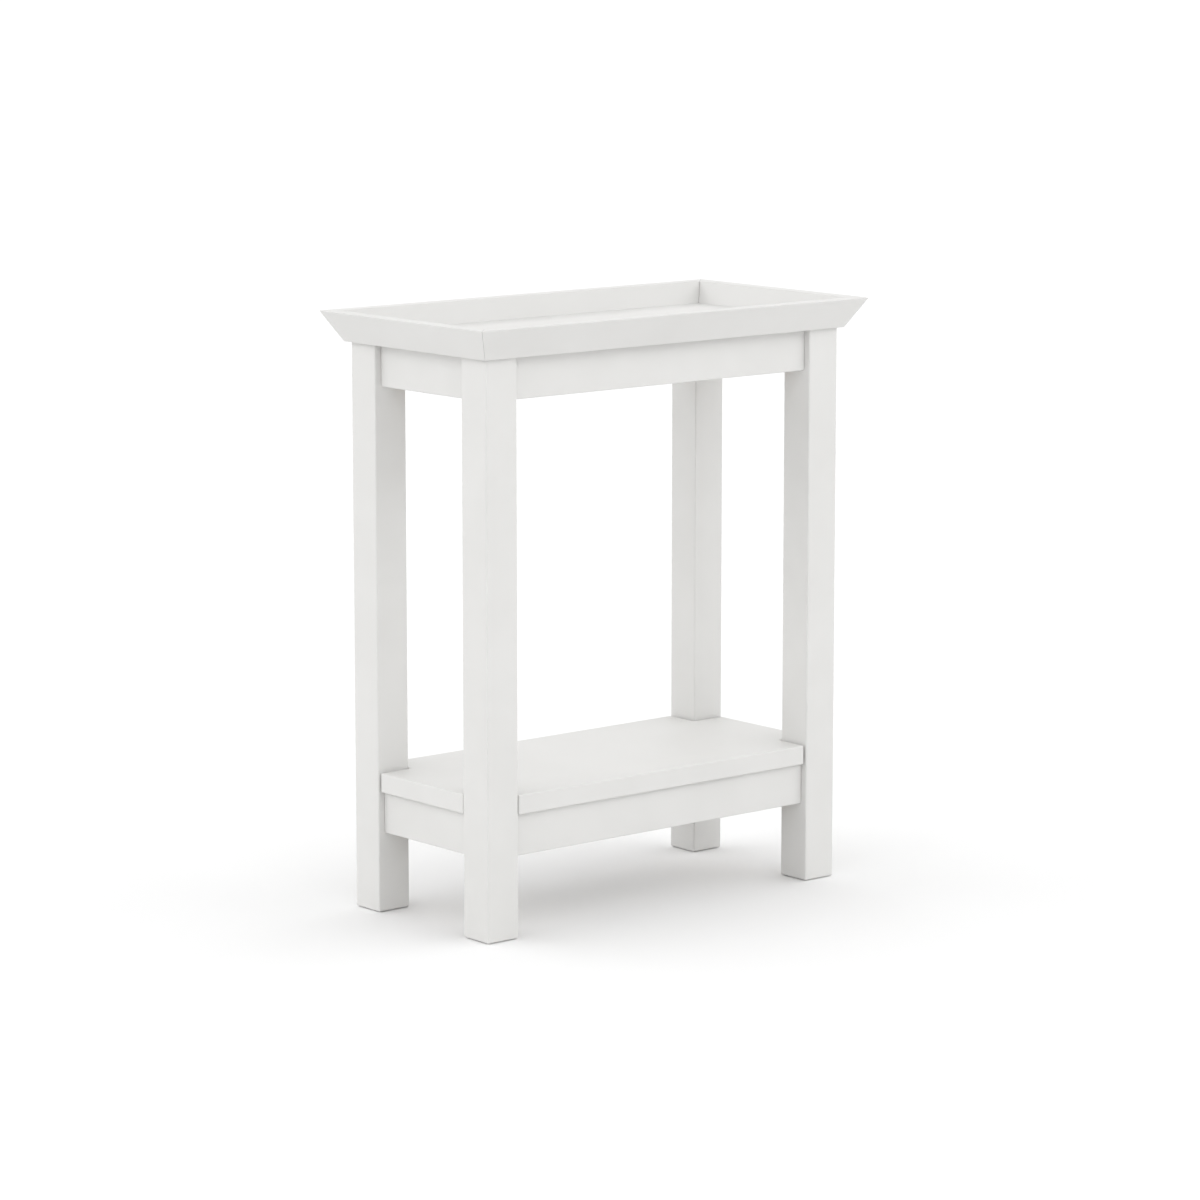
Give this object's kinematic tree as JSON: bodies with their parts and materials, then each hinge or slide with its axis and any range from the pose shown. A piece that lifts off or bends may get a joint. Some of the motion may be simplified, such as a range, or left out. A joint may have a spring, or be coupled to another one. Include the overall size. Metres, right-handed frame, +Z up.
{
  "type": "console table",
  "caption": "Narrow console table on square legs, with a low shelf notched around the legs and a tray top whose mitred rim leans outward.",
  "frame": {"origin": "on the floor, at the centre of the table's footprint", "axes": "+Z up, X along the long side with the left end at -X, front at -Y"},
  "size_m": [0.6578, 0.3358, 0.789],
  "materials": {
    "painted_wood": "satin white paint over wood",
    "raw_wood": "bare beech, sawn and planed",
    "zinc_steel": "bright zinc plate",
    "glide_plastic": "moulded nylon, off white"
  },
  "bodies": {
    "root": {"leg_front_left": "painted_wood", "upper_corner_block_front_left": "raw_wood", "lower_corner_block_front_left": "raw_wood", "foot_glide_front_left": "glide_plastic", "leg_front_right": "painted_wood", "upper_corner_block_front_right": "raw_wood", "lower_corner_block_front_right": "raw_wood", "foot_glide_front_right": "glide_plastic", "leg_back_right": "painted_wood", "upper_corner_block_back_right": "raw_wood", "lower_corner_block_back_right": "raw_wood", "foot_glide_back_right": "glide_plastic", "leg_back_left": "painted_wood", "upper_corner_block_back_left": "raw_wood", "lower_corner_block_back_left": "raw_wood", "foot_glide_back_left": "glide_plastic", "apron_front": "painted_wood", "shelf_rail_front": "painted_wood", "tray_rim_front": "painted_wood", "apron_right": "painted_wood", "shelf_rail_right": "painted_wood", "tray_rim_right": "painted_wood", "apron_back": "painted_wood", "shelf_rail_back": "painted_wood", "tray_rim_back": "painted_wood", "apron_left": "painted_wood", "shelf_rail_left": "painted_wood", "tray_rim_left": "painted_wood", "tray_panel": "painted_wood", "shelf_board": "painted_wood", "apron_dowels": "raw_wood", "shelf_rail_dowels": "raw_wood", "hanger_bolts": "zinc_steel", "hanger_bolt_washers": "zinc_steel", "hanger_bolt_nuts": "zinc_steel", "corner_block_screws": "zinc_steel", "tray_screws": "zinc_steel", "shelf_screws": "zinc_steel", "tray_mitre_nails": "zinc_steel", "foot_glide_nails": "zinc_steel"}
  },
  "joints": []
}
